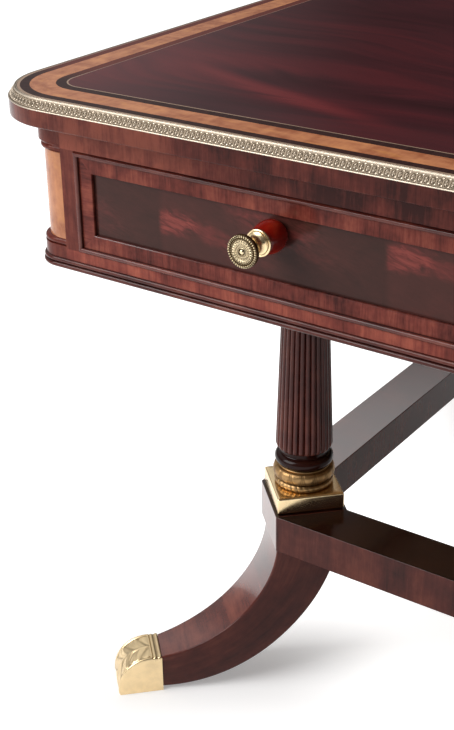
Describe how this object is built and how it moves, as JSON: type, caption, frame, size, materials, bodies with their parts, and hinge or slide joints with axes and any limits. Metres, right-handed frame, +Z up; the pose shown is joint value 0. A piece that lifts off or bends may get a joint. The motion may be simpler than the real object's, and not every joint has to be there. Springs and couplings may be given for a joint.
{
  "type": "coffee table",
  "caption": "Low rectangular table with a brass-edged inlaid top, two frieze drawers, four reeded columns on a stretcher frame and four sabre legs with brass toe caps.",
  "frame": {"origin": "on the floor, under the middle of the outline box, knobs included", "axes": "+X along the table's length to the right, +Y towards the plain back, +Z up; the drawers open towards -Y"},
  "size_m": [1.124, 0.7786, 0.508],
  "materials": {
    "mahogany": "french polished, dark red-brown, straight grain",
    "flame_mahogany": "french polished crotch veneer, deep red flames",
    "rosewood": "polished, near-black banding",
    "satinwood": "polished golden crossbanding",
    "boxwood": "pale stringing",
    "red_mahogany": "polished turned bosses, red stain",
    "oak": "unpolished inner timber",
    "brass": "polished, dark patina in the hollows",
    "steel": "plain screws"
  },
  "bodies": {
    "carcase": {"top_core": "mahogany", "edge_band": "mahogany", "brass_edge": "brass", "outer_stringing": "boxwood", "outer_band": "rosewood", "satinwood_band": "satinwood", "inner_band": "rosewood", "inner_stringing": "boxwood", "top_field": "flame_mahogany", "corner_posts": "mahogany", "pilaster_inlays": "satinwood", "front_top_rail": "mahogany", "front_low_rail": "mahogany", "front_stiles": "mahogany", "end_panels": "mahogany", "back_panel": "mahogany", "base_moulding": "mahogany", "centre_partition": "oak", "cross_bearers": "oak", "drawer_runners": "oak", "drawer_guides": "oak", "drawer_kickers": "oak", "drawer_stops": "oak", "glue_blocks": "oak", "columns": "mahogany", "brass_rings": "brass", "brass_pads": "brass", "corner_blocks": "mahogany", "legs": "mahogany", "toe_caps": "brass", "long_stretchers": "mahogany", "end_stretchers": "mahogany"},
    "left_drawer": {"left_front": "flame_mahogany", "left_border": "mahogany", "left_cockbead": "mahogany", "left_sides": "oak", "left_back": "oak", "left_bottom": "oak", "left_knob_bosses": "red_mahogany", "left_knob_stems": "brass", "left_knob_rosettes": "brass", "left_knob_screws": "steel"},
    "right_drawer": {"right_front": "flame_mahogany", "right_border": "mahogany", "right_cockbead": "mahogany", "right_sides": "oak", "right_back": "oak", "right_bottom": "oak", "right_knob_bosses": "red_mahogany", "right_knob_stems": "brass", "right_knob_rosettes": "brass", "right_knob_screws": "steel"}
  },
  "joints": [
    {"name": "left_drawer_slide", "type": "slide", "parent": "carcase", "child": "left_drawer", "axis": [0, -1, 0], "range_m": [0, 0.3]},
    {"name": "right_drawer_slide", "type": "slide", "parent": "carcase", "child": "right_drawer", "axis": [0, -1, 0], "range_m": [0, 0.3]}
  ]
}
